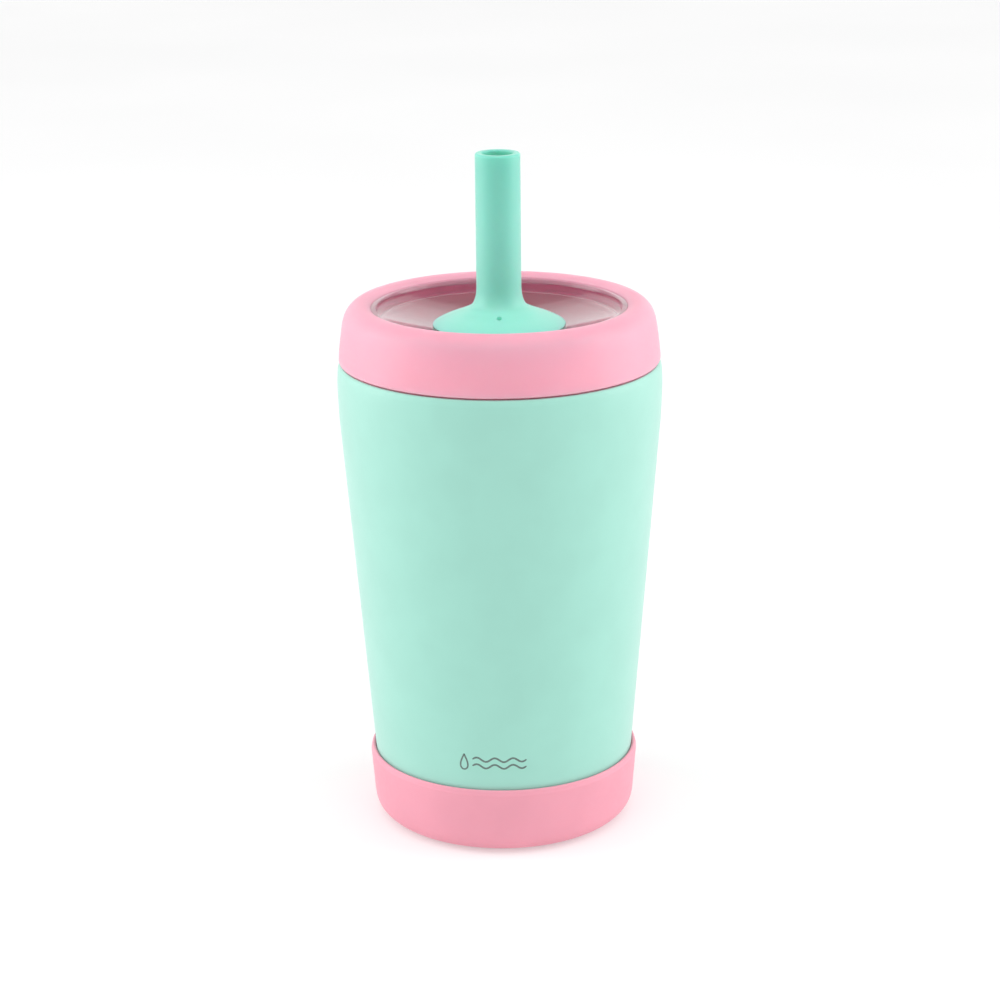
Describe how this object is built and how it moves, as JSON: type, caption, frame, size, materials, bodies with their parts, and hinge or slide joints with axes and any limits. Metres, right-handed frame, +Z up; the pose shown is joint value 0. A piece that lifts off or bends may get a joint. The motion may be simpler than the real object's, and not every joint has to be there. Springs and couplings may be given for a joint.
{
  "type": "insulated straw cup",
  "caption": "Tapered insulated steel cup with a silicone base boot, a press-in lid with a clear dish, and a soft silicone drinking straw on a long stem.",
  "frame": {"origin": "on the cup's axis, at the underside of the base boot's foot ring", "axes": "+Z up along the cup's axis towards the straw tip; the side with the straw's vent hole faces -Y"},
  "size_m": [0.084, 0.0838, 0.1775],
  "materials": {
    "coated_steel": "fine satin powder coat, mint",
    "bare_steel": "satin, electropolished",
    "solder": "dull",
    "getter": "sintered, dull",
    "pink_silicone": "matte silicone",
    "pink_plastic": "fine matte moulded",
    "clear_plastic": "polished clear copolyester",
    "white_silicone": "translucent white silicone",
    "mint_silicone": "matte silicone, mint",
    "natural_plastic": "natural polypropylene"
  },
  "bodies": {
    "cup": {"outer_shell": "coated_steel", "inner_wall": "bare_steel", "inner_floor": "bare_steel", "outer_bottom": "bare_steel", "vacuum_seal": "solder", "getter_tablet": "getter", "getter_clip": "bare_steel", "bottom_cover": "bare_steel"},
    "boot": {"base_boot": "pink_silicone"},
    "lid": {"lid_collar": "pink_plastic", "lid_dish": "clear_plastic", "lid_seal": "white_silicone"},
    "straw": {"straw_spout": "mint_silicone", "straw_stem": "natural_plastic"}
  },
  "joints": [
    {"name": "lid_lift", "type": "slide", "parent": "cup", "child": "lid", "axis": [0, 0, 1], "range_m": [0, 0.13]},
    {"name": "straw_pull", "type": "slide", "parent": "lid", "child": "straw", "axis": [0, 0, 1], "range_m": [0, 0.135]},
    {"name": "boot_pull", "type": "slide", "parent": "cup", "child": "boot", "axis": [0, 0, -1], "range_m": [0, 0.03]}
  ]
}
